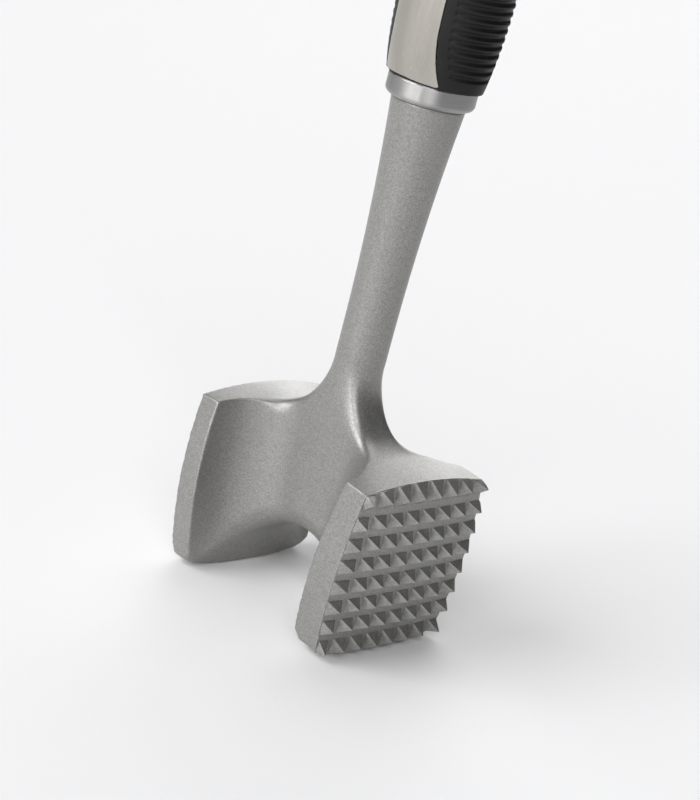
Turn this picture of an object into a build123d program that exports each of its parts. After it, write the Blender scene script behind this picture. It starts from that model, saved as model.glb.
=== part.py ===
"""Two-sided meat tenderizer: cast head and neck, steel collar, plated handle with ribbed grips.

The origin is on the neck's axis, level with the lowest point of the head. +Z runs up the handle,
+X is the toothed side, and the two steel plates look along -Y and +Y.
"""

import os
from math import acos, asin, atan2, cos, degrees, hypot, pi, radians, sin, sqrt, tan

from build123d import *

os.makedirs("parts", exist_ok=True)

# Driving dimensions in millimetres, angles in degrees

# Teeth
tooth_pitch = 7.0
teeth_each_way = 8
tooth_height = 3.6
tooth_width = 5.1
tooth_length = 4.7
tooth_root = 0.3
tooth_rim = 0.15

# Striking faces, seen as squares with bulging sides
face_corner_half_width = 25.8
face_side_bulge = 2.9
face_foot_corner = 26.3
face_foot_bulge = 2.3
face_top_corner = 27.0
face_top_bulge = 2.7
face_tilt = 3.5
flat_face_distance = 34.9
toothed_face_distance = 37.8
toothed_face_dome = 1.4

# Waist between the two lobes
flat_lobe_inner = 27.0
toothed_lobe_inner = 26.6
lobe_inner_tilt = 4.5
waist_half_thickness = 7.9
sweep_radius = 19.0
arch_drop = 5.1
arch_radius = 24.5
arch_half_width = 26.0
shoulder_radius = 17.4
shoulder_relief = 0.2
top_slope = 3.4
top_slope_distance = 37.0

# Neck and tang
neck_radius = 7.87
neck_top_radius = 11.35
flare_radius = 22.5
flare_height = 52.0
neck_taper_start = 62.0
neck_length = 134.7
spigot_radius = 9.5
tang_width = 12.0
tang_depth = 8.0
tang_end_distance = 31.9

# Collar and gasket
collar_radius = 13.6
collar_height = 6.3
collar_lip_radius = 1.8
collar_rim_radius = 0.4
gasket_thickness = 0.5

# Handle, an oval that swells from its foot to its belly and tapers to the end cap
overall_length = 268.0
end_cap_length = 16.0
foot_half_width = 15.9
foot_half_depth = 13.0
belly_half_width = 17.9
belly_half_depth = 16.3
belly_width_height = 36.0
belly_depth_height = 30.0
width_swell = 2
depth_swell = 3
tail_half_width = 16.0
tail_half_depth = 13.6
handle_stations = 7
end_cap_crown_radius = 8.0

# Plates and grips
plate_thickness = 1.2
plate_foot_half_width = 10.8
plate_waist_half_width = 8.7
plate_waist_height = 17.0
plate_tail_half_width = 11.0
plate_corner_radius = 0.6
grip_thickness = 3.0
rib_pitch = 2.6
rib_groove_radius = 0.9
rib_groove_depth = 1.0
rib_groove_end_depth = 0.35
rib_border = 3.0
first_groove_height = 4.7
rib_free_top = 8.0

# Fasteners
screw_radius = 2.5
screw_grip = 12.0
screw_head_radius = 4.6
screw_head_height = 3.5
washer_radius = 6.2
washer_thickness = 1.2
core_web = 3.5
tang_pin_radius = 1.5
tang_pin_foot_distance = 9.5
tang_pin_pitch = 20.0
tang_pin_margin = 2.0
tang_pin_cover = 1.5
stud_radius = 1.6
stud_length = 4.0
stud_end_distance = 5.0
screw_socket_radius = 2.3
screw_socket_depth = 2.0
screw_head_rounding = 1.2
screw_tip_gap = 1.0
stud_hole_spare = 0.3
cap_leg_width = 2.5
cap_leg_depth = 6.0
cap_leg_length = 9.0
cap_leg_distance = 9.5
hang_hole_radius = 4.5
hang_hole_from_end = 9.0
hang_hole_edge_radius = 0.8

# Clearances
seat_gap = 0.1
edge_gap = 0.15
gasket_recess = 0.4
fit_gap = 0.1
slide_gap = 0.15
pin_gap = 0.05

# Places worked out from the dimensions
head_centre = face_foot_corner + face_foot_bulge
neck_top = head_centre + neck_length
collar_top = neck_top + collar_height
spigot_top = collar_top - seat_gap
grip_foot = collar_top + seat_gap
core_foot = collar_top + gasket_thickness
cap_joint = overall_length - end_cap_length
handle_length = cap_joint - grip_foot
plate_top = cap_joint - seat_gap
tang_top = cap_joint - tang_end_distance
tang_pin_room = tang_top - core_foot - screw_grip - tang_pin_foot_distance - tang_pin_margin
tang_pin_count = 1 + int(tang_pin_room / tang_pin_pitch)
tang_pin_places = [core_foot + tang_pin_foot_distance + n * tang_pin_pitch for n in range(tang_pin_count)]
web_bottom = tang_top + slide_gap
web_top = web_bottom + core_web
washer_top = web_top + washer_thickness
beyond = 60.0


def arc_radius(half_chord, rise):
    """Radius of the arc that rises by so much over so long a half chord."""
    return (half_chord**2 + rise**2) / (2 * rise)


def arc_drop_at(radius, distance):
    """How far an arc has fallen away from its highest point."""
    return radius - sqrt(radius**2 - distance**2)


# Head and neck

side_arc = arc_radius(face_foot_corner, face_side_bulge)
face_side = face_corner_half_width + face_side_bulge
face_top_half_width = face_side - arc_drop_at(side_arc, face_top_corner)
crown_arc = arc_radius(face_top_half_width, face_top_bulge)
foot_arc = arc_radius(face_corner_half_width, face_foot_bulge)
face_top = face_top_corner + face_top_bulge
tilt_slope = tan(radians(face_tilt))
inner_slope = tan(radians(lobe_inner_tilt))
dome_sphere = arc_radius(hypot(face_corner_half_width, face_foot_corner), toothed_face_dome)

# The sloping top is this much lower where it meets the upper edge of the toothed face
slope = radians(top_slope)
toothed_edge_x = toothed_face_distance + face_top * tilt_slope - arc_drop_at(dome_sphere, face_top)
toothed_top_fall = (toothed_edge_x - top_slope_distance) * tan(slope)


def face_outline(inset):
    """Closed outline of the toothed face in its own plane, drawn in by the inset."""
    foot_y = face_corner_half_width - inset
    top_y = face_top_half_width - inset
    low = head_centre - face_foot_corner + inset
    high = head_centre + face_top_corner - toothed_top_fall - inset
    crown = head_centre + face_top - toothed_top_fall - inset
    with BuildSketch(Plane.YZ) as outline:
        with BuildLine():
            ThreePointArc((foot_y, low), (face_side - inset, head_centre), (top_y, high))
            ThreePointArc((top_y, high), (0, crown), (-top_y, high))
            ThreePointArc((-top_y, high), (inset - face_side, head_centre), (-foot_y, low))
            ThreePointArc((-foot_y, low), (0, inset), (foot_y, low))
        make_face()
    return outline.sketch


def waist_profile(height):
    """Region in front of the waist that the front sweep takes away, at one height."""
    spread = (height - head_centre) * inner_slope
    flat_x = -flat_lobe_inner - spread
    toothed_x = toothed_lobe_inner + spread
    outer_y = -face_side - sweep_radius
    sweep_y = -waist_half_thickness - sweep_radius
    knee = sweep_radius * (1 - sin(pi / 4))
    with BuildSketch(Plane.XY.offset(height)) as profile:
        with BuildLine():
            Line((toothed_x, outer_y), (flat_x, outer_y))
            Line((flat_x, outer_y), (flat_x, sweep_y))
            ThreePointArc(
                (flat_x, sweep_y),
                (flat_x + knee, -waist_half_thickness - knee),
                (flat_x + sweep_radius, -waist_half_thickness),
            )
            Line(
                (flat_x + sweep_radius, -waist_half_thickness),
                (toothed_x - sweep_radius, -waist_half_thickness),
            )
            ThreePointArc(
                (toothed_x - sweep_radius, -waist_half_thickness),
                (toothed_x - knee, -waist_half_thickness - knee),
                (toothed_x, sweep_y),
            )
            Line((toothed_x, sweep_y), (toothed_x, outer_y))
        make_face()
    return profile.sketch


with BuildPart() as front_sweep:
    low_profile = waist_profile(-face_foot_bulge)
    high_profile = waist_profile(head_centre + beyond)
    loft(sections=[low_profile, high_profile], ruled=True)

# Region above the lobes. Their tops rise a little from the faces and then run up the neck in an
# arc. The region is turned about a line far below the head, which gives the tops their crown.
shoulder_x = neck_radius + shoulder_relief
arc_x = shoulder_x + shoulder_radius
arc_z = head_centre + face_top + (shoulder_radius - (arc_x - top_slope_distance) * sin(slope)) / cos(slope)
slope_x = arc_x - shoulder_radius * sin(slope)
slope_z = arc_z - shoulder_radius * cos(slope)
arc_middle = (5 * pi / 2 - slope) / 2
with BuildPart() as shoulder_cut:
    with BuildSketch(Plane.XZ):
        with BuildLine():
            Line((shoulder_x, arc_z), (beyond, arc_z))
            Line((beyond, arc_z), (beyond, slope_z - (beyond - slope_x) * tan(slope)))
            Line((beyond, slope_z - (beyond - slope_x) * tan(slope)), (slope_x, slope_z))
            ThreePointArc(
                (slope_x, slope_z),
                (arc_x + shoulder_radius * cos(arc_middle), arc_z + shoulder_radius * sin(arc_middle)),
                (shoulder_x, arc_z),
            )
        make_face()
        mirror(about=Plane.YZ)
    revolve(axis=Axis((0, 0, head_centre + face_top - crown_arc), (1, 0, 0)))

# Region below the head: flat under the lobes, with an arch between two straight legs
arch_centre = head_centre - arch_drop - arch_radius
leg_angle = atan2(-arch_centre, arch_half_width)
leg_turn = acos(arch_radius / hypot(arch_centre, arch_half_width))
spring_x = arch_radius * cos(leg_angle + leg_turn)
spring_z = arch_centre + arch_radius * sin(leg_angle + leg_turn)
with BuildPart() as arch_cut:
    with BuildSketch(Plane.XZ):
        with BuildLine():
            Line((-beyond, 0), (-arch_half_width, 0))
            Line((-arch_half_width, 0), (-spring_x, spring_z))
            ThreePointArc(
                (-spring_x, spring_z),
                (0, arch_centre + arch_radius),
                (spring_x, spring_z),
            )
            Line((spring_x, spring_z), (arch_half_width, 0))
            Line((arch_half_width, 0), (beyond, 0))
            Line((beyond, 0), (beyond, -head_centre))
            Line((beyond, -head_centre), (-beyond, -head_centre))
            Line((-beyond, -head_centre), (-beyond, 0))
        make_face()
    revolve(axis=Axis((0, 0, foot_arc), (1, 0, 0)))


def tooth_span(index, size, low_rim, high_rim):
    """Low and high edge of a tooth row, where the first and last row reach out to the rims."""
    middle = (index - (teeth_each_way - 1) / 2) * tooth_pitch
    low = middle - size / 2
    high = middle + size / 2
    if index == 0:
        low = -low_rim
    if index == teeth_each_way - 1:
        high = high_rim
    return low, high


def rim_at(middle_reach, radius, distance):
    """Distance from the middle of a face to its bulging rim, at a distance along that rim."""
    return middle_reach - arc_drop_at(radius, distance) - tooth_rim


toothed_plane = Plane(
    origin=(toothed_face_distance, 0, head_centre),
    x_dir=(0, 1, 0),
    z_dir=(cos(radians(face_tilt)), 0, -sin(radians(face_tilt))),
)

with BuildPart() as teeth:
    for row in range(teeth_each_way):
        for column in range(teeth_each_way):
            tip_s = sum(tooth_span(row, tooth_length, head_centre, head_centre)) / 2
            tip_y = sum(tooth_span(column, tooth_width, face_side, face_side)) / 2
            side_rim = rim_at(face_side, side_arc, tip_s)
            foot_rim = rim_at(head_centre, foot_arc, tip_y)
            top_rim = rim_at(face_top - toothed_top_fall, crown_arc, tip_y)
            left, right = tooth_span(column, tooth_width, side_rim, side_rim)
            low, high = tooth_span(row, tooth_length, foot_rim, top_rim)
            floor = -arc_drop_at(dome_sphere, hypot((left + right) / 2, (low + high) / 2))
            spread = 1 + tooth_root / tooth_height
            with BuildSketch(toothed_plane.offset(floor - tooth_root)) as base:
                with Locations(((left + right) / 2, (low + high) / 2)):
                    Rectangle((right - left) * spread, (high - low) * spread)
            apex = toothed_plane.offset(floor + tooth_height).from_local_coords(
                Vector(tip_y, tip_s, 0)
            )
            loft(sections=[base.sketch.face(), Vertex(*apex)])
    extrude(face_outline(tooth_rim), amount=beyond, mode=Mode.INTERSECT)

with BuildPart() as head_casting:
    with BuildSketch(Plane.YZ):
        reach = face_top + face_top_bulge
        side_y = face_side - arc_drop_at(side_arc, reach)
        with BuildLine():
            ThreePointArc(
                (side_y, head_centre - reach), (face_side, head_centre), (side_y, head_centre + reach)
            )
            Line((side_y, head_centre + reach), (-side_y, head_centre + reach))
            ThreePointArc(
                (-side_y, head_centre + reach), (-face_side, head_centre), (-side_y, head_centre - reach)
            )
            Line((-side_y, head_centre - reach), (side_y, head_centre - reach))
        make_face()
    extrude(amount=beyond, both=True)
    with BuildSketch(Plane.XZ):
        with BuildLine():
            Polyline(
                (-flat_face_distance + beyond * tilt_slope, head_centre - beyond),
                (-flat_face_distance - beyond * tilt_slope, head_centre + beyond),
                (toothed_face_distance + beyond * tilt_slope, head_centre + beyond),
                (toothed_face_distance - beyond * tilt_slope, head_centre - beyond),
                close=True,
            )
        make_face()
    extrude(amount=beyond, both=True, mode=Mode.INTERSECT)
    with BuildSketch(Plane.XZ):
        flare_top = head_centre + flare_height
        flare_knee = flare_radius * sin(pi / 4)
        flare_x = neck_radius + flare_radius
        taper_start = head_centre + neck_taper_start
        taper_radius = arc_radius(neck_top - taper_start, neck_top_radius - neck_radius)
        taper_middle = (neck_top - taper_start) / 2
        with BuildLine():
            Line((0, head_centre), (flare_x, head_centre))
            Line((flare_x, head_centre), (flare_x, flare_top - flare_radius))
            ThreePointArc(
                (flare_x, flare_top - flare_radius),
                (flare_x - flare_knee, flare_top - flare_knee),
                (neck_radius, flare_top),
            )
            Line((neck_radius, flare_top), (neck_radius, taper_start))
            ThreePointArc(
                (neck_radius, taper_start),
                (neck_radius + arc_drop_at(taper_radius, taper_middle), taper_start + taper_middle),
                (neck_top_radius, neck_top),
            )
            Line((neck_top_radius, neck_top), (spigot_radius, neck_top))
            Line((spigot_radius, neck_top), (spigot_radius, spigot_top))
            Line((spigot_radius, spigot_top), (0, spigot_top))
            Line((0, spigot_top), (0, head_centre))
        make_face()
    revolve(axis=Axis.Z)
    add(shoulder_cut.part, mode=Mode.SUBTRACT)
    add(arch_cut.part, mode=Mode.SUBTRACT)
    add(front_sweep.part, mode=Mode.SUBTRACT)
    add(front_sweep.part.mirror(Plane.XZ), mode=Mode.SUBTRACT)
    with Locations(toothed_plane.offset(-dome_sphere)):
        Sphere(dome_sphere, mode=Mode.INTERSECT)
    add(teeth.part)
    with BuildSketch(Plane.XY.offset(spigot_top)):
        Rectangle(tang_width, tang_depth)
    extrude(amount=tang_top - spigot_top)
    with Locations((0, 0, tang_top)):
        Hole(screw_radius + pin_gap, depth=screw_grip)
    for pin_place in tang_pin_places:
        with Locations(Plane.XZ.offset(-tang_depth)):
            with Locations((0, pin_place)):
                Hole(tang_pin_radius + pin_gap, depth=2 * tang_depth)
head_casting.part.label = "head_casting"
export_step(head_casting.part, "parts/head_casting.step")

# Collar, seated on the neck's shoulder around the spigot

with BuildPart() as collar:
    with BuildSketch(Plane.XY.offset(neck_top)):
        Circle(collar_radius)
        Circle(spigot_radius + pin_gap, mode=Mode.SUBTRACT)
    extrude(amount=collar_height)
    fillet(collar.edges().group_by(Axis.Z)[0].sort_by(SortBy.RADIUS)[-1], radius=collar_lip_radius)
    fillet(collar.edges().group_by(Axis.Z)[-1].sort_by(SortBy.RADIUS)[-1], radius=collar_rim_radius)
collar.part.label = "collar"
export_step(collar.part, "parts/collar.step")


# Handle forms that the core, plates and grips share


def swell(foot, belly, tail, belly_height, power, height):
    """Half size of the handle at a height above its foot."""
    if height < belly_height:
        return foot + (belly - foot) * (1 - (1 - height / belly_height) ** power)
    return tail + (belly - tail) * (1 - ((height - belly_height) / (handle_length - belly_height)) ** 2)


def half_width(height):
    """Half width of the handle, towards the grips."""
    return swell(
        foot_half_width, belly_half_width, tail_half_width, belly_width_height, width_swell, height
    )


def half_depth(height):
    """Half depth of the handle, towards the plates."""
    return swell(
        foot_half_depth, belly_half_depth, tail_half_depth, belly_depth_height, depth_swell, height
    )


def handle_form(inset):
    """Oval body of the whole handle, drawn in all round by the inset."""
    with BuildPart() as form:
        for station in range(handle_stations):
            height = handle_length * station / (handle_stations - 1)
            with BuildSketch(Plane.XY.offset(grip_foot + height)):
                Ellipse(half_width(height) - inset, half_depth(height) - inset)
        loft()
    return form.part


def plate_edge_at(height):
    """Half width of a plate at a height above the handle's foot: an arc below and above its waist."""
    rise = plate_foot_half_width - plate_waist_half_width
    reach = plate_waist_height
    if height > plate_waist_height:
        rise = plate_tail_half_width - plate_waist_half_width
        reach = handle_length - plate_waist_height
    return plate_waist_half_width + arc_drop_at(arc_radius(reach, rise), height - plate_waist_height)


def plate_outline(growth, low, high, corner_radius=0):
    """Outline of a plate seen from the front, widened by the growth, with rounded corners."""
    waist_z = grip_foot + plate_waist_height
    heights = (low, (low + waist_z) / 2, waist_z, (waist_z + high) / 2, high)
    right = [(plate_edge_at(z - grip_foot) + growth, z) for z in heights]
    left = [(-x, z) for x, z in right]
    with BuildSketch(Plane.XZ) as outline:
        with BuildLine():
            Line(left[0], right[0])
            ThreePointArc(*right[0:3])
            ThreePointArc(*right[2:5])
            Line(right[4], left[4])
            ThreePointArc(*left[0:3])
            ThreePointArc(*left[2:5])
        make_face()
        if corner_radius:
            rows = outline.vertices().group_by(Axis.Y)
            fillet(rows[0] + rows[-1], radius=corner_radius)
    return outline.sketch


def plate_seat_at(height):
    """Distance from the handle's axis to the inside of a plate."""
    return half_depth(height - grip_foot) - plate_thickness


outer_form = handle_form(0)
plate_seat = handle_form(plate_thickness)
grip_seat = handle_form(grip_thickness)
core_at_plates = handle_form(plate_thickness + fit_gap)
core_at_grips = handle_form(grip_thickness + fit_gap)

# Gasket between collar and handle, seen as a dark line under each plate

with BuildPart() as collar_gasket:
    with BuildSketch(Plane.XY.offset(collar_top)):
        Ellipse(foot_half_width - gasket_recess, foot_half_depth - gasket_recess)
        Rectangle(2 * (plate_foot_half_width - edge_gap), beyond, mode=Mode.INTERSECT)
        Ellipse(
            foot_half_width - grip_thickness - fit_gap, foot_half_depth - grip_thickness - fit_gap
        )
        Rectangle(tang_width + 2 * slide_gap, tang_depth + 2 * slide_gap, mode=Mode.SUBTRACT)
    extrude(amount=gasket_thickness)
collar_gasket.part.label = "collar_gasket"
export_step(collar_gasket.part, "parts/collar_gasket.step")

# Steel plates, one in front and one behind

with BuildPart() as front_plate:
    add(outer_form)
    add(plate_seat, mode=Mode.SUBTRACT)
    front_outline = plate_outline(0, core_foot, plate_top, plate_corner_radius)
    extrude(front_outline, amount=beyond, mode=Mode.INTERSECT)
front_plate.part.label = "front_plate"
export_step(front_plate.part, "parts/front_plate.step")

with BuildPart() as back_plate:
    mirror(front_plate.part, about=Plane.XZ)
back_plate.part.label = "back_plate"
export_step(back_plate.part, "parts/back_plate.step")

# Ribbed grips on either side, with grooves that fade out before they reach the plates

with BuildPart() as right_grip:
    add(outer_form)
    add(grip_seat, mode=Mode.SUBTRACT)
    grip_window = plate_outline(edge_gap, grip_foot, cap_joint)
    extrude(grip_window, amount=beyond, both=True, mode=Mode.SUBTRACT)
    split(bisect_by=Plane.YZ, keep=Keep.TOP)
    groove_count = 1 + int((handle_length - rib_free_top - first_groove_height) / rib_pitch)
    for groove in range(groove_count):
        height = first_groove_height + groove * rib_pitch
        width = half_width(height)
        depth = half_depth(height)
        surface_x = plate_edge_at(height) + rib_border
        surface_y = depth * sqrt(1 - (surface_x / width) ** 2)
        steepness = hypot(surface_x / width**2, surface_y / depth**2)
        end_x = surface_x - rib_groove_end_depth * surface_x / width**2 / steepness
        end_y = surface_y - rib_groove_end_depth * surface_y / depth**2 / steepness
        groove_arc = arc_radius(end_y, width - rib_groove_depth - end_x)
        groove_turn = degrees(asin(end_y / groove_arc))
        centre = (width - rib_groove_depth - groove_arc, 0, grip_foot + height)
        with Locations(Location(centre, (0, 0, -groove_turn))):
            Torus(
                groove_arc + rib_groove_radius,
                rib_groove_radius,
                major_angle=2 * groove_turn,
                align=Align.NONE,
                mode=Mode.SUBTRACT,
            )
right_grip.part.label = "right_grip"
export_step(right_grip.part, "parts/right_grip.step")

with BuildPart() as left_grip:
    mirror(right_grip.part, about=Plane.YZ)
left_grip.part.label = "left_grip"
export_step(left_grip.part, "parts/left_grip.step")

# Moulded core around the tang, with a web that the screw pulls down towards the collar

stud_heights = (core_foot + stud_end_distance, plate_top - stud_end_distance)
with BuildPart() as handle_core:
    add(core_at_plates)
    core_window = plate_outline(-edge_gap, core_foot, cap_joint)
    extrude(core_window, amount=beyond, both=True, mode=Mode.INTERSECT)
    add(core_at_grips)
    split(bisect_by=Plane.XY.offset(core_foot), keep=Keep.TOP)
    with BuildSketch(Plane.XY.offset(core_foot)):
        Rectangle(tang_width + 2 * slide_gap, tang_depth + 2 * slide_gap)
    extrude(amount=web_bottom - core_foot, mode=Mode.SUBTRACT)
    with Locations((0, 0, cap_joint)):
        CounterBoreHole(
            radius=screw_radius + pin_gap,
            counter_bore_radius=washer_radius + slide_gap,
            counter_bore_depth=cap_joint - web_top,
            depth=cap_joint - tang_top,
        )
    for pin_place in tang_pin_places:
        with Locations(Plane.XZ.offset(-beyond)):
            with Locations((0, pin_place)):
                Hole(tang_pin_radius + pin_gap, depth=2 * beyond)
    for stud_height in stud_heights:
        for side in (-1, 1):
            seat = side * plate_seat_at(stud_height)
            with Locations(Plane(origin=(0, seat, stud_height), z_dir=(0, side, 0))):
                Hole(stud_radius + pin_gap, depth=stud_length + stud_hole_spare)
    with BuildSketch(Plane.XY.offset(cap_joint)):
        with Locations((-cap_leg_distance, 0), (cap_leg_distance, 0)):
            Rectangle(cap_leg_width + 2 * pin_gap, cap_leg_depth + 2 * pin_gap)
    extrude(amount=-cap_leg_length - stud_hole_spare, mode=Mode.SUBTRACT)
handle_core.part.label = "handle_core"
export_step(handle_core.part, "parts/handle_core.step")

# Screw and washer that pull the core down, reached from above through the counterbore

with BuildPart() as tang_screw:
    with BuildSketch(Plane.XY.offset(tang_top - screw_grip + screw_tip_gap)):
        Circle(screw_radius)
    extrude(amount=washer_top - tang_top + screw_grip - screw_tip_gap)
    with BuildSketch(Plane.XY.offset(washer_top)):
        Circle(screw_head_radius)
    extrude(amount=screw_head_height)
    fillet(tang_screw.edges().sort_by(Axis.Z)[-1], radius=screw_head_rounding)
    with BuildSketch(Plane.XY.offset(washer_top + screw_head_height)):
        RegularPolygon(radius=screw_socket_radius, side_count=6)
    extrude(amount=-screw_socket_depth, mode=Mode.SUBTRACT)
tang_screw.part.label = "tang_screw"
export_step(tang_screw.part, "parts/tang_screw.step")

with BuildPart() as tang_washer:
    with BuildSketch(Plane.XY.offset(web_top)):
        Circle(washer_radius)
        Circle(screw_radius + pin_gap, mode=Mode.SUBTRACT)
    extrude(amount=washer_thickness)
tang_washer.part.label = "tang_washer"
export_step(tang_washer.part, "parts/tang_washer.step")

# Cross pins through core and tang, covered by the plates

with BuildPart() as tang_pins:
    for pin_place in tang_pin_places:
        with BuildSketch(Plane.XZ):
            with Locations((0, pin_place)):
                Circle(tang_pin_radius)
        pin_reach = plate_seat_at(pin_place) - tang_pin_cover
        extrude(amount=pin_reach, both=True)
tang_pins.part.label = "tang_pins"
export_step(tang_pins.part, "parts/tang_pins.step")

# Studs on the inside of each plate, pushed into the core

with BuildPart() as front_plate_studs:
    for stud_height in stud_heights:
        with BuildSketch(Plane.XZ.offset(plate_seat_at(stud_height) - stud_length)):
            with Locations((0, stud_height)):
                Circle(stud_radius)
        extrude(amount=2 * stud_length)
    add(plate_seat, mode=Mode.INTERSECT)
front_plate_studs.part.label = "front_plate_studs"
export_step(front_plate_studs.part, "parts/front_plate_studs.step")

with BuildPart() as back_plate_studs:
    mirror(front_plate_studs.part, about=Plane.XZ)
back_plate_studs.part.label = "back_plate_studs"
export_step(back_plate_studs.part, "parts/back_plate_studs.step")

# End cap with the hanging hole and two legs that grip the core

with BuildPart() as end_cap:
    with BuildSketch(Plane.XY.offset(cap_joint)):
        Ellipse(tail_half_width, tail_half_depth)
    extrude(amount=end_cap_length)
    fillet(end_cap.edges().group_by(Axis.Z)[-1], radius=end_cap_crown_radius)
    with Locations(Plane.XZ.offset(-beyond)):
        with Locations((0, overall_length - hang_hole_from_end)):
            Hole(hang_hole_radius, depth=2 * beyond)
    fillet(end_cap.faces().filter_by(GeomType.CYLINDER).edges(), radius=hang_hole_edge_radius)
    with BuildSketch(Plane.XY.offset(cap_joint)):
        with Locations((-cap_leg_distance, 0), (cap_leg_distance, 0)):
            Rectangle(cap_leg_width, cap_leg_depth)
    extrude(amount=-cap_leg_length)
end_cap.part.label = "end_cap"
export_step(end_cap.part, "parts/end_cap.step")
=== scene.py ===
"""Looks of the two-sided meat tenderizer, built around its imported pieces.

Metres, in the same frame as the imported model: +Z up the handle, +X the toothed side.
"""

from math import ceil, cos, radians, sin

import bpy
from mathutils import Matrix, Vector
from mathutils.kdtree import KDTree


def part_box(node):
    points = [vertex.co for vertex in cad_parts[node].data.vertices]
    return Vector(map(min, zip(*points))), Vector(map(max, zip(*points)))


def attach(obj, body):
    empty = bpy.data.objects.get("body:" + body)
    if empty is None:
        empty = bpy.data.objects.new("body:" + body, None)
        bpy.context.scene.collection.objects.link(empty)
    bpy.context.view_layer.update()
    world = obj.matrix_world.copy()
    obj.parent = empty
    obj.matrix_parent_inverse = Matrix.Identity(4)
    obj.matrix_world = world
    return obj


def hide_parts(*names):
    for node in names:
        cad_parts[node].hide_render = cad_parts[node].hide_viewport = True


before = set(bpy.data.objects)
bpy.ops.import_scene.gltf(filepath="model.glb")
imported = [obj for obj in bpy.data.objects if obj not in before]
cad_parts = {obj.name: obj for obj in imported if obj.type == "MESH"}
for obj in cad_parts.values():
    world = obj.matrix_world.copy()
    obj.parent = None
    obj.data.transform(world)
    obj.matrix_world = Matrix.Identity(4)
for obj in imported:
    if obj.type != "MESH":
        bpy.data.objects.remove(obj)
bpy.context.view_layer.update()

MM = 0.001
BODY = "root"

# Merging, and what counts as a sharp edge
MERGE_DISTANCE = 0.001 * MM
SHARP_TURN = radians(28)
EDGE_STEP = 0.15 * MM

# Rounding: full at an edge, fading out between these distances from it
EDGE_NEAR = 0.5 * MM
EDGE_FAR = 2.4 * MM
SNAP_SHARE = 0.75
SMOOTH_FACTOR = 0.5

# Shading angle, in degrees, of a piece that is smooth all over
ALL_SMOOTH = 180


def deselect():
    """Leaves edit mode and clears the selection."""
    if bpy.context.object and bpy.context.object.mode != "OBJECT":
        bpy.ops.object.mode_set(mode="OBJECT")
    bpy.ops.object.select_all(action="DESELECT")


def pick(obj):
    """Makes one object the selected and active one."""
    deselect()
    obj.select_set(True)
    bpy.context.view_layer.objects.active = obj


def edit(obj, kind="FACE"):
    """Opens an object in edit mode."""
    pick(obj)
    bpy.ops.object.mode_set(mode="EDIT")
    bpy.ops.mesh.select_mode(type=kind)


def done():
    """Closes edit mode."""
    bpy.ops.object.mode_set(mode="OBJECT")


def apply_modifier(obj, kind, **values):
    """Adds a modifier with its values and applies it at once."""
    pick(obj)
    modifier = obj.modifiers.new(kind.lower(), kind)
    for name, value in values.items():
        setattr(modifier, name, value)
    bpy.ops.object.modifier_apply(modifier=modifier.name)


def shape_from(node, name):
    """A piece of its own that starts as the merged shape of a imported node."""
    obj = bpy.data.objects.new(name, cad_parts[node].data.copy())
    bpy.context.scene.collection.objects.link(obj)
    obj.data.name = name
    obj.data.materials.clear()
    edit(obj)
    bpy.ops.mesh.select_all(action="SELECT")
    bpy.ops.mesh.customdata_custom_splitnormals_clear()
    bpy.ops.mesh.remove_doubles(threshold=MERGE_DISTANCE)
    bpy.ops.mesh.normals_make_consistent(inside=False)
    done()
    return obj


def close_holes(obj):
    """Closes every open edge loop of a mesh with a face."""
    edit(obj)
    bpy.ops.mesh.select_all(action="SELECT")
    bpy.ops.mesh.fill_holes(sides=0)
    bpy.ops.mesh.select_all(action="SELECT")
    bpy.ops.mesh.quads_convert_to_tris()
    bpy.ops.mesh.normals_make_consistent(inside=False)
    done()


def split_off(obj, name, wanted):
    """Splits the faces that the test names off into their own piece, and closes both."""
    edit(obj)
    bpy.ops.mesh.select_all(action="DESELECT")
    done()
    for face in obj.data.polygons:
        face.select = wanted(face)
    edit(obj)
    bpy.ops.mesh.separate(type="SELECTED")
    done()
    part = next(o for o in bpy.context.selected_objects if o != obj)
    part.name = name
    part.data.name = name
    close_holes(obj)
    close_holes(part)
    return part


def cut_above(obj, name, height):
    """Cuts a piece in two at a height and returns the upper part as its own piece."""
    edit(obj)
    bpy.ops.mesh.select_all(action="SELECT")
    bpy.ops.mesh.bisect(plane_co=(0, 0, height), plane_no=(0, 0, 1))
    done()
    return split_off(obj, name, lambda face: face.center.z > height)


def ramp(value, start, end):
    """0 at the start, 1 at the end, smooth in between."""
    share = min(1, max(0, (value - start) / (end - start)))
    return share * share * (3 - 2 * share)


def sharp_places(obj, turn=SHARP_TURN, wanted=lambda place: True):
    """Points along the sharp edges of a merged mesh, kept where the test says."""
    edit(obj, "EDGE")
    bpy.ops.mesh.select_all(action="DESELECT")
    bpy.ops.mesh.edges_select_sharp(sharpness=turn)
    done()
    places = []
    for edge in obj.data.edges:
        if edge.select:
            start, end = (obj.data.vertices[i].co for i in edge.vertices)
            steps = max(1, ceil((end - start).length / EDGE_STEP))
            places += [start.lerp(end, n / steps) for n in range(steps + 1)]
    return [place for place in places if wanted(place)]


def finder(places):
    """Finds the nearest of many places quickly."""
    tree = KDTree(len(places))
    for number, place in enumerate(places):
        tree.insert(place, number)
    tree.balance()
    return tree


def distance_to(places, co):
    """How far a point is from the nearest of the places in a finder."""
    return places.find(co)[2]


def weigh(obj, name, weights):
    """A vertex group with one weight for each vertex."""
    group = obj.vertex_groups.new(name=name)
    for index, weight in enumerate(weights):
        if weight > 0:
            group.add([index], weight, "REPLACE")


def soften(obj, group, rounds):
    """Smooths a mesh where a vertex group says."""
    apply_modifier(obj, "SMOOTH", factor=SMOOTH_FACTOR, iterations=rounds, vertex_group=group)


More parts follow.
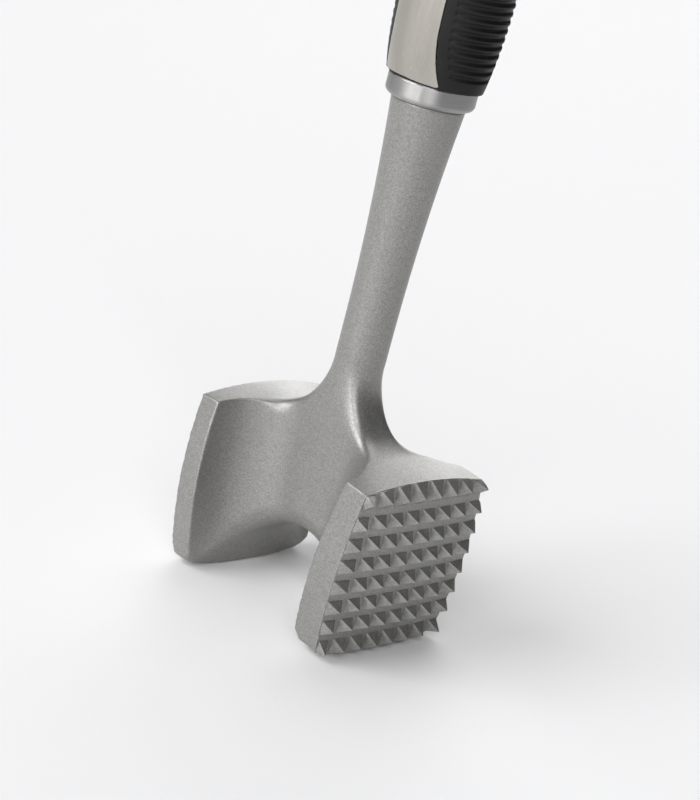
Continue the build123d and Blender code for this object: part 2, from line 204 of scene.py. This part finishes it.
def skin(obj, places, grain, face_rounds, edge_rounds, keep=lambda co: 1):
    """One fine even skin: broad faces come out smooth, edges near the places get a small round.

    The skin is drawn onto the exact shape and its points close to an edge move onto it first, so
    that the round is even along its length. Keep lowers the rounding of edges that stay crisp.
    """
    exact = obj.copy()
    exact.data = obj.data.copy()
    bpy.context.scene.collection.objects.link(exact)
    apply_modifier(obj, "REMESH", mode="VOXEL", voxel_size=grain)
    apply_modifier(obj, "SHRINKWRAP", target=exact, wrap_method="NEAREST_SURFACEPOINT")
    bpy.data.objects.remove(exact)
    edges = finder(places)
    for vertex in obj.data.vertices:
        place, number, distance = edges.find(vertex.co)
        if distance < SNAP_SHARE * grain:
            vertex.co = place
    away = [ramp(distance_to(edges, v.co), EDGE_NEAR, EDGE_FAR) for v in obj.data.vertices]
    near = [(1 - share) * keep(v.co) for share, v in zip(away, obj.data.vertices)]
    weigh(obj, "faces", away)
    weigh(obj, "edges", near)
    soften(obj, "faces", face_rounds)
    soften(obj, "edges", edge_rounds)


def place_piece(obj, node, angle=ALL_SMOOTH):
    """Shades a piece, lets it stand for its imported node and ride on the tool."""
    pick(obj)
    bpy.ops.object.shade_smooth_by_angle(angle=radians(angle))
    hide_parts(node)
    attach(obj, BODY)


# Toothed face: the floor between the teeth lies on a very large ball
FACE_TILT = radians(3.5)
HEAD_CENTRE = 28.6 * MM
TOOTHED_FACE_DISTANCE = 37.8 * MM
DOME_RADIUS = 485.46 * MM
TOOTH_CLEAR = 0.05 * MM
TOOTH_REACH = 5 * MM
TOOTH_EDGE = 0.12 * MM
TOOTH_EDGE_SEGMENTS = 2

# Head casting: the teeth and the tang keep their crisp shape, the rest is rounded along its edges
HEAD_GRAIN = 0.42 * MM
HEAD_FACE_ROUNDS = 50
HEAD_EDGE_ROUNDS = 14
HEAD_TRIANGLES = 190000
TRIANGLES_PER_FACE = 2
TANG_OVERLAP = 0.5 * MM
TANG_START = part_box("collar")[0].z + TANG_OVERLAP
RIM_NEAR = 0.3 * MM
RIM_FAR = 1.2 * MM

# The lower corners of both lobes are rounded more than their edges
CORNER_LOW = 6 * MM
CORNER_TOP = 12 * MM
CORNER_APART = 15 * MM
CORNER_BAND = 0.6 * MM
CORNER_NEAR = 0.8 * MM
CORNER_FAR = 2.8 * MM
CORNER_ROUNDS = 70

# The ridges of the waist and of the arch below it are rounded most
RIDGE_TURN = radians(14)
RIDGE_REACH = 24 * MM
RIDGE_FADE = 8 * MM
RIDGE_NEAR = 2.5 * MM
RIDGE_FAR = 7 * MM
RIDGE_TOP = 85 * MM
RIDGE_ROUNDS = 430
ARCH_TOP = 30 * MM
ARCH_ROUNDS = 600

# Faces that meet at more than this angle, in degrees, show a crisp line
BODY_SHADING = 62
TOOTH_SHADING = 25
TANG_SHADING = 30


def lobe_corners(places):
    """The places at the four lower corners of the lobes, where side and lower edge meet."""
    found = []
    for side in (-1, 1):
        for end in (-1, 1):
            low = [p for p in places if p.z < CORNER_LOW and p.x * side > CORNER_APART and p.y * end > 0]
            outmost = max(p.y * end - p.z for p in low)
            found += [p for p in low if p.y * end - p.z > outmost - CORNER_BAND]
    return found


def head_pieces():
    """Body, teeth and tang of the cast head."""
    body = shape_from("head_casting", "head_body")
    normal = Vector((cos(FACE_TILT), 0, -sin(FACE_TILT)))
    ball = Vector((TOOTHED_FACE_DISTANCE, 0, HEAD_CENTRE)) - normal * DOME_RADIUS
    above = [(v.co - ball).length > DOME_RADIUS + TOOTH_CLEAR for v in body.data.vertices]
    reach = TOOTHED_FACE_DISTANCE - TOOTH_REACH

    def is_tooth(face):
        return face.center.x > reach and any(above[i] for i in face.vertices)

    def on_rim(place):
        return place.x > reach and abs((place - ball).length - DOME_RADIUS) < TOOTH_CLEAR

    def on_ridge(place):
        return abs(place.x) < RIDGE_REACH and place.z < RIDGE_TOP

    teeth = split_off(body, "head_teeth", is_tooth)
    apply_modifier(
        teeth,
        "BEVEL",
        width=TOOTH_EDGE,
        segments=TOOTH_EDGE_SEGMENTS,
        limit_method="ANGLE",
        use_clamp_overlap=True,
    )
    tang = cut_above(body, "head_tang", TANG_START)
    crisp = sharp_places(body, wanted=lambda place: not on_ridge(place))
    ridges = finder(sharp_places(body, RIDGE_TURN, on_ridge))
    rim = finder([place for place in crisp if on_rim(place)])
    corners = finder(lobe_corners(crisp))

    def keep(co):
        return ramp(distance_to(rim, co), RIM_NEAR, RIM_FAR)

    def ridge(co):
        if co.z > RIDGE_TOP:
            return 0
        near = 1 - ramp(distance_to(ridges, co), RIDGE_NEAR, RIDGE_FAR)
        return near * (1 - ramp(abs(co.x), RIDGE_REACH - RIDGE_FADE, RIDGE_REACH))

    def arch(co):
        return ridge(co) if co.z < ARCH_TOP else 0

    def corner(co):
        if co.z >= CORNER_TOP:
            return 0
        return (1 - ramp(distance_to(corners, co), CORNER_NEAR, CORNER_FAR)) * keep(co)

    skin(body, crisp, HEAD_GRAIN, HEAD_FACE_ROUNDS, HEAD_EDGE_ROUNDS, keep)
    for name, weight in {"ridges": ridge, "arch": arch, "corners": corner}.items():
        weigh(body, name, [weight(v.co) for v in body.data.vertices])
    soften(body, "ridges", RIDGE_ROUNDS)
    soften(body, "arch", ARCH_ROUNDS)
    soften(body, "corners", CORNER_ROUNDS)
    triangles = TRIANGLES_PER_FACE * len(body.data.polygons)
    apply_modifier(body, "DECIMATE", ratio=HEAD_TRIANGLES / triangles)
    place_piece(body, "head_casting", BODY_SHADING)
    place_piece(teeth, "head_casting", TOOTH_SHADING)
    place_piece(tang, "head_casting", TANG_SHADING)
    return body, teeth, tang


# Plates and grips
PLATE_GRAIN = 0.3 * MM
PLATE_FACE_ROUNDS = 40
PLATE_EDGE_ROUNDS = 3
GRIP_GRAIN = 0.32 * MM
GRIP_FACE_ROUNDS = 6
GRIP_EDGE_ROUNDS = 5


def plate_pieces():
    """Steel plates with eased edges."""
    pieces = []
    for node in ("front_plate", "back_plate"):
        plate = shape_from(node, node + "_skin")
        skin(plate, sharp_places(plate), PLATE_GRAIN, PLATE_FACE_ROUNDS, PLATE_EDGE_ROUNDS)
        place_piece(plate, node)
        pieces.append(plate)
    return pieces


def grip_pieces():
    """Moulded grips whose ribs run into each other softly."""
    pieces = []
    for node in ("right_grip", "left_grip"):
        grip = shape_from(node, node + "_skin")
        skin(grip, sharp_places(grip), GRIP_GRAIN, GRIP_FACE_ROUNDS, GRIP_EDGE_ROUNDS)
        place_piece(grip, node)
        pieces.append(grip)
    return pieces


# Materials: how they are put together


def link(tree, start, end):
    """Links two sockets."""
    tree.links.new(start, end)


def node(tree, kind, inputs=(), **values):
    """A node with its settings, and its sockets set to numbers, colours or other sockets."""
    made = tree.nodes.new("ShaderNode" + kind)
    for name, value in values.items():
        setattr(made, name, value)
    for name, value in dict(inputs).items():
        if isinstance(value, bpy.types.NodeSocket):
            link(tree, value, made.inputs[name])
        else:
            made.inputs[name].default_value = value
    return made


def combine(tree, operation, first, second):
    """Two values put together by an operation."""
    return node(tree, "Math", {0: first, 1: second}, operation=operation).outputs["Value"]


def remap(tree, value, span, to_span=(0, 1)):
    """Maps a value from one range to another."""
    low, high = span
    to_low, to_high = to_span
    inputs = {"Value": value, "From Min": low, "From Max": high, "To Min": to_low, "To Max": to_high}
    return node(tree, "MapRange", inputs).outputs["Result"]


def mixed(tree, share, first, second):
    """Two colours or colour sockets mixed by a share."""
    made = node(tree, "Mix", data_type="RGBA")
    link(tree, share, made.inputs["Factor"])
    for name, colour in (("A", first), ("B", second)):
        socket = next(s for s in made.inputs if s.name == name and s.type == "RGBA")
        if isinstance(colour, bpy.types.NodeSocket):
            link(tree, colour, socket)
        else:
            socket.default_value = (*colour, 1)
    return next(s for s in made.outputs if s.type == "RGBA")


def shader_group(name, numbers, results):
    """An empty shader group with numbers in and values out, and its two ends."""
    group = bpy.data.node_groups.new(name, "ShaderNodeTree")
    for socket, value in numbers.items():
        made = group.interface.new_socket(name=socket, in_out="INPUT", socket_type="NodeSocketFloat")
        made.default_value = value
    for socket in results:
        group.interface.new_socket(name=socket, in_out="OUTPUT", socket_type="NodeSocketFloat")
    return group, group.nodes.new("NodeGroupInput"), group.nodes.new("NodeGroupOutput")


def use_group(tree, group, numbers):
    """A group placed in a material with its own values."""
    made = tree.nodes.new("ShaderNodeGroup")
    made.node_tree = group
    for name, value in numbers.items():
        made.inputs[name].default_value = value
    return made


def object_place(tree):
    """The place on the object that a pattern follows."""
    return node(tree, "TexCoord").outputs["Object"]


def noise(tree, place, scale, detail):
    """Noise of a scale and a detail."""
    return node(tree, "TexNoise", {"Vector": place, "Scale": scale, "Detail": detail}).outputs["Fac"]


def new_material(name):
    """A new material; returns it with its tree and its Principled shader."""
    material = bpy.data.materials.new(name)
    material.use_nodes = True
    return material, material.node_tree, material.node_tree.nodes["Principled BSDF"]


def bump(tree, shader, height, strength, distance):
    """Bumps a shader by a height."""
    made = node(tree, "Bump", {"Height": height, "Strength": strength, "Distance": distance})
    link(tree, made.outputs["Normal"], shader.inputs["Normal"])


def dress(obj, material):
    """Gives a piece its material in every slot."""
    if not obj.data.materials:
        obj.data.materials.append(material)
    for slot in obj.material_slots:
        slot.link = "OBJECT"
        slot.material = material


# Effects that more than one material uses
FLAKE_INPUTS = {"Size": 3000.0, "Cloud": 60.0}
FLAKE_DETAIL = 1.0
CLOUD_DETAIL = 4.0
WEAR_INPUTS = {"From": 0.52, "To": 0.58, "Breakup": 700.0}
WEAR_DETAIL = 3.0
WEAR_PATCHES = (0.3, 0.6)
BRUSH_AND_BAND_STRETCH = {"Across X": 1.0, "Across Y": 1.0, "Across Z": 1.0}
LINE_SCALE = 1000.0
LINE_DETAIL = 3.0
# Painted reflection bands: broad darker bands in the steel colour
PAINTED_BAND_SCALE = 28.0
PAINTED_BAND_DETAIL = 2.0
SMUDGE_SCALE = 45.0
SMUDGE_DETAIL = 3.0


def flake_group():
    """Tiny metal flakes in a coat: each cell has its own brightness and height."""
    group, start, end = shader_group("flakes", FLAKE_INPUTS, ("Share", "Cloudiness", "Height"))
    place = object_place(group)
    size = start.outputs["Size"]
    cells = node(group, "TexVoronoi", {"Vector": place, "Scale": size})
    tone = node(group, "SeparateColor", {"Color": cells.outputs["Color"]})
    clouds = noise(group, place, start.outputs["Cloud"], CLOUD_DETAIL)
    soft = noise(group, place, size, FLAKE_DETAIL)
    both = combine(group, "ADD", tone.outputs["Red"], soft)
    half = combine(group, "MULTIPLY", both, 0.5)
    link(group, half, end.inputs["Share"])
    link(group, clouds, end.inputs["Cloudiness"])
    link(group, soft, end.inputs["Height"])
    return group


def edge_group():
    """How much a place stands out as an edge, broken up by wear."""
    group, start, end = shader_group("edge_wear", WEAR_INPUTS, ("Mask",))
    sharp = node(group, "NewGeometry").outputs["Pointiness"]
    standing = remap(group, sharp, (start.outputs["From"], start.outputs["To"]))
    patches = noise(group, object_place(group), start.outputs["Breakup"], WEAR_DETAIL)
    worn = remap(group, patches, WEAR_PATCHES)
    link(group, combine(group, "MULTIPLY", standing, worn), end.inputs["Mask"])
    return group


def streak_and_painted_band_group():
    """Fine brushing lines and broad painted reflection bands, drawn out by the stretch along each axis."""
    group, start, end = shader_group("brushing_and_painted_bands", BRUSH_AND_BAND_STRETCH, ("Share", "Painted Reflection", "Smudge"))
    place = object_place(group)
    stretch = node(group, "CombineXYZ", {axis: start.outputs["Across " + axis] for axis in "XYZ"})
    drawn = node(group, "VectorMath", {0: place, 1: stretch.outputs["Vector"]}, operation="MULTIPLY")
    drawn = drawn.outputs["Vector"]
    link(group, noise(group, drawn, LINE_SCALE, LINE_DETAIL), end.inputs["Share"])
    link(group, noise(group, drawn, PAINTED_BAND_SCALE, PAINTED_BAND_DETAIL), end.inputs["Painted Reflection"])
    link(group, noise(group, place, SMUDGE_SCALE, SMUDGE_DETAIL), end.inputs["Smudge"])
    return group


# Grey coat of the casting
COAT_DARK = (0.205, 0.202, 0.193)
COAT_LIGHT = (0.33, 0.326, 0.312)
COAT_CLOUD = (0.25, 0.25, 0.255)
COAT_WORN = (0.42, 0.42, 0.41)
COAT_CLOUD_SHARE = 0.15
COAT_WORN_SHARE = 0.35
COAT_ROUGHNESS = (0.34, 0.42)
COAT_METALLIC = 0.6
COAT_FLAKES = {"Size": 3300.0, "Cloud": 55.0}
COAT_WEAR = {"From": 0.56, "To": 0.66, "Breakup": 500.0}
COAT_BUMP = 0.4

# Brushed steel
STEEL_WORN = (0.75, 0.74, 0.72)
STEEL_WORN_SHARE = 0.5
STEEL_LINE_TONE = 0.88
# Painted reflection bands: their darker tone and how much of it they bring
STEEL_PAINTED_REFLECTION_TONE = 0.62
STEEL_PAINTED_REFLECTION_SHARE = 0.45
STEEL_ROUGHNESS = (0.2, 0.27)
TURNED_ROUGHNESS = (0.39, 0.45)
TURNED_STRETCH = 0.9
QUARTER_TURN = 0.25
STEEL_WEAR = {"From": 0.56, "To": 0.64, "Breakup": 400.0}
STEEL_BUMP = 0.6

# Black rubber and plastic
BLACK_FLAKES = {"Size": 4200.0, "Cloud": 80.0}
BLACK_WEAR = {"From": 0.54, "To": 0.66, "Breakup": 300.0}
BLACK_WORN_SHARE = 0.5
BLACK_WORN_TONE = 2
BLACK_SPECULAR = 0.22
BLACK_BUMP = 0.3
ROUGHNESS_SPREAD = 0.05

# Depth of the grain, and the parts of a noise's range that the finishes use
GRAIN_DEPTH = 0.03 * MM
WIDE_SPAN = (0.25, 0.75)
MIDDLE_SPAN = (0.3, 0.7)
NARROW_SPAN = (0.35, 0.65)


def coated_metal(flakes, wear):
    """Satin grey coat with fine metal flakes, thinner and brighter along the edges."""
    material, tree, shader = new_material("coated_casting")
    grain = use_group(tree, flakes, COAT_FLAKES)
    edge = use_group(tree, wear, COAT_WEAR)
    coat = mixed(tree, remap(tree, grain.outputs["Share"], WIDE_SPAN), COAT_DARK, COAT_LIGHT)
    cloud = remap(tree, grain.outputs["Cloudiness"], NARROW_SPAN, (0, COAT_CLOUD_SHARE))
    coat = mixed(tree, cloud, coat, COAT_CLOUD)
    worn = remap(tree, edge.outputs["Mask"], (0, 1), (0, COAT_WORN_SHARE))
    link(tree, mixed(tree, worn, coat, COAT_WORN), shader.inputs["Base Color"])
    rough = remap(tree, grain.outputs["Cloudiness"], MIDDLE_SPAN, COAT_ROUGHNESS)
    link(tree, rough, shader.inputs["Roughness"])
    shader.inputs["Metallic"].default_value = COAT_METALLIC
    bump(tree, shader, grain.outputs["Height"], COAT_BUMP, GRAIN_DEPTH)
    return material


def draw_out_gloss(tree, shader):
    """Draws the gloss out along the tool's axis, as fine turning lines around it do."""
    shader.inputs["Anisotropic"].default_value = TURNED_STRETCH
    shader.inputs["Anisotropic Rotation"].default_value = QUARTER_TURN
    around = node(tree, "Tangent", direction_type="RADIAL", axis="Z")
    link(tree, around.outputs["Tangent"], shader.inputs["Tangent"])


def brushed_metal(name, brushing_and_painted_bands, wear, across, tone, relief, turned=False):
    """Brushed stainless steel with lines along the given direction and of the given relief, and painted
    reflection bands along the same direction.
    """
    material, tree, shader = new_material(name)
    lines_and_painted_bands = use_group(tree, brushing_and_painted_bands, dict(zip(BRUSH_AND_BAND_STRETCH, across)))
    edge = use_group(tree, wear, STEEL_WEAR)
    share = remap(tree, lines_and_painted_bands.outputs["Share"], NARROW_SPAN)
    steel = mixed(tree, share, [STEEL_LINE_TONE * c for c in tone], tone)
    # Broad darker bands painted into the steel colour stand in for soft reflection bands
    painted_reflection = remap(tree, lines_and_painted_bands.outputs["Painted Reflection"], NARROW_SPAN, (STEEL_PAINTED_REFLECTION_SHARE, 0))
    steel = mixed(tree, painted_reflection, steel, [STEEL_PAINTED_REFLECTION_TONE * c for c in tone])
    worn = remap(tree, edge.outputs["Mask"], (0, 1), (0, STEEL_WORN_SHARE))
    link(tree, mixed(tree, worn, steel, STEEL_WORN), shader.inputs["Base Color"])
    roughness = TURNED_ROUGHNESS if turned else STEEL_ROUGHNESS
    link(tree, remap(tree, lines_and_painted_bands.outputs["Smudge"], MIDDLE_SPAN, roughness), shader.inputs["Roughness"])
    shader.inputs["Metallic"].default_value = 1.0
    bump(tree, shader, lines_and_painted_bands.outputs["Share"], STEEL_BUMP, relief)
    if turned:
        draw_out_gloss(tree, shader)
    return material


def black_moulding(name, flakes, wear, roughness, dark, light):
    """Black moulded rubber or plastic with a fine matte grain, from a dark to a light grey."""
    material, tree, shader = new_material(name)
    grain = use_group(tree, flakes, BLACK_FLAKES)
    edge = use_group(tree, wear, BLACK_WEAR)
    share = remap(tree, grain.outputs["Cloudiness"], MIDDLE_SPAN)
    colour = mixed(tree, share, [dark] * 3, [light] * 3)
    worn = remap(tree, edge.outputs["Mask"], (0, 1), (0, BLACK_WORN_SHARE))
    link(tree, mixed(tree, worn, colour, [BLACK_WORN_TONE * light] * 3), shader.inputs["Base Color"])
    spread = (roughness - ROUGHNESS_SPREAD, roughness + ROUGHNESS_SPREAD)
    link(tree, remap(tree, grain.outputs["Cloudiness"], MIDDLE_SPAN, spread), shader.inputs["Roughness"])
    shader.inputs["Specular IOR Level"].default_value = BLACK_SPECULAR
    bump(tree, shader, grain.outputs["Height"], BLACK_BUMP, GRAIN_DEPTH)
    return material


# Floor
FLOOR_SIZE = 80
FLOOR_DROP = 0.1 * MM
FLOOR_COLOUR = (0.88, 0.88, 0.89, 1)
FLOOR_ROUGHNESS = 0.7
FLOOR_SPECULAR = 0.2

# World and lamps: where each lamp stands, how wide it is, all in degrees, and its power
WORLD_STRENGTH = 0.05
LAMPS = {
    "key": (-22, 33, 38, 1.8),
    "key_low": (-2, 8, 34, 0.9),
    "left": (-58, 32, 40, 0.45),
    "right": (40, 36, 40, 1.15),
    "right_low": (40, 13, 30, 0.35),
    "strip": (12, 8, 14, 0.35),
    "behind": (-139, 13, 30, 0.6),
    "behind_high": (-139, 58, 45, 0.95),
}

# Camera, from where the photograph was taken
CAMERA_PLACE = (0.4394, -0.5077, 0.2962)
CAMERA_TURN = radians(40.861)
CAMERA_TILT = radians(18.807)
CAMERA_ROLL = radians(14.890)
CAMERA_LENS = 104.3
CAMERA_SENSOR = 36


def floor():
    """Plain pale floor under the tool."""
    deselect()
    bpy.ops.mesh.primitive_plane_add(size=FLOOR_SIZE, location=(0, 0, -FLOOR_DROP))
    plane = bpy.context.object
    plane.name = "floor"
    material, tree, shader = new_material("floor")
    shader.inputs["Base Color"].default_value = FLOOR_COLOUR
    shader.inputs["Roughness"].default_value = FLOOR_ROUGHNESS
    shader.inputs["Specular IOR Level"].default_value = FLOOR_SPECULAR
    plane.data.materials.append(material)


def sun(name, azimuth, elevation, angle, power):
    """Soft distant light. Azimuth 0 shines from -Y and 90 from +X."""
    lamp = bpy.data.lights.new(name, "SUN")
    lamp.energy = power
    lamp.angle = radians(angle)
    obj = bpy.data.objects.new(name, lamp)
    bpy.context.scene.collection.objects.link(obj)
    a = radians(azimuth)
    e = radians(elevation)
    towards = Vector((sin(a) * cos(e), -cos(a) * cos(e), sin(e)))
    obj.rotation_mode = "QUATERNION"
    obj.rotation_quaternion = towards.to_track_quat("Z", "Y")


def lights():
    """Dim white world and soft studio lamps."""
    world = bpy.data.worlds.new("studio")
    bpy.context.scene.world = world
    world.use_nodes = True
    background = world.node_tree.nodes["Background"]
    background.inputs["Color"].default_value = (1, 1, 1, 1)
    background.inputs["Strength"].default_value = WORLD_STRENGTH
    for name, values in LAMPS.items():
        sun(name, *values)


def camera():
    """Camera at the photograph's viewing angle."""
    lens = bpy.data.cameras.new("camera")
    lens.lens = CAMERA_LENS
    lens.sensor_width = CAMERA_SENSOR
    obj = bpy.data.objects.new("camera", lens)
    bpy.context.scene.collection.objects.link(obj)
    obj.rotation_mode = "QUATERNION"
    obj.rotation_quaternion = (
        Matrix.Rotation(CAMERA_TURN, 3, "Z")
        @ Matrix.Rotation(radians(90) - CAMERA_TILT, 3, "X")
        @ Matrix.Rotation(CAMERA_ROLL, 3, "Z")
    ).to_quaternion()
    obj.location = CAMERA_PLACE
    bpy.context.scene.camera = obj


flakes = flake_group()
wear = edge_group()
brushing_and_painted_bands = streak_and_painted_band_group()

# How fast the brushing lines and the painted reflection bands change along X, Y and Z: upright on the
# plates, around the collar
UPRIGHT = (4.0, 4.0, 0.06)
AROUND = (0.15, 0.15, 4.0)
ALL_WAYS = (2.0, 2.0, 2.0)

# Tone of each steel and depth of its brushing lines
PLATE_TONE = (0.52, 0.495, 0.45)
PLATE_RELIEF = 0.01 * MM
COLLAR_TONE = (0.44, 0.435, 0.43)
COLLAR_RELIEF = 0.02 * MM
FASTENER_TONE = (0.6, 0.6, 0.6)
FASTENER_RELIEF = 0.004 * MM

coated = coated_metal(flakes, wear)
plate_steel = brushed_metal("plate_steel", brushing_and_painted_bands, wear, UPRIGHT, PLATE_TONE, PLATE_RELIEF)
collar_steel = brushed_metal("collar_steel", brushing_and_painted_bands, wear, AROUND, COLLAR_TONE, COLLAR_RELIEF, turned=True)
fastener = brushed_metal("fastener_steel", brushing_and_painted_bands, wear, ALL_WAYS, FASTENER_TONE, FASTENER_RELIEF)
rubber = black_moulding("black_grip", flakes, wear, roughness=0.48, dark=0.007, light=0.012)
plastic = black_moulding("black_plastic", flakes, wear, roughness=0.38, dark=0.008, light=0.012)

for piece in head_pieces():
    dress(piece, coated)
for piece in plate_pieces():
    dress(piece, plate_steel)
for piece in grip_pieces():
    dress(piece, rubber)
for name, material in {
    "collar": collar_steel,
    "end_cap": plastic,
    "collar_gasket": plastic,
    "handle_core": plastic,
    "tang_screw": fastener,
    "tang_washer": fastener,
    "tang_pins": fastener,
    "front_plate_studs": fastener,
    "back_plate_studs": fastener,
}.items():
    dress(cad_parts[name], material)

floor()
lights()
camera()
bpy.context.scene.view_settings.view_transform = "Standard"
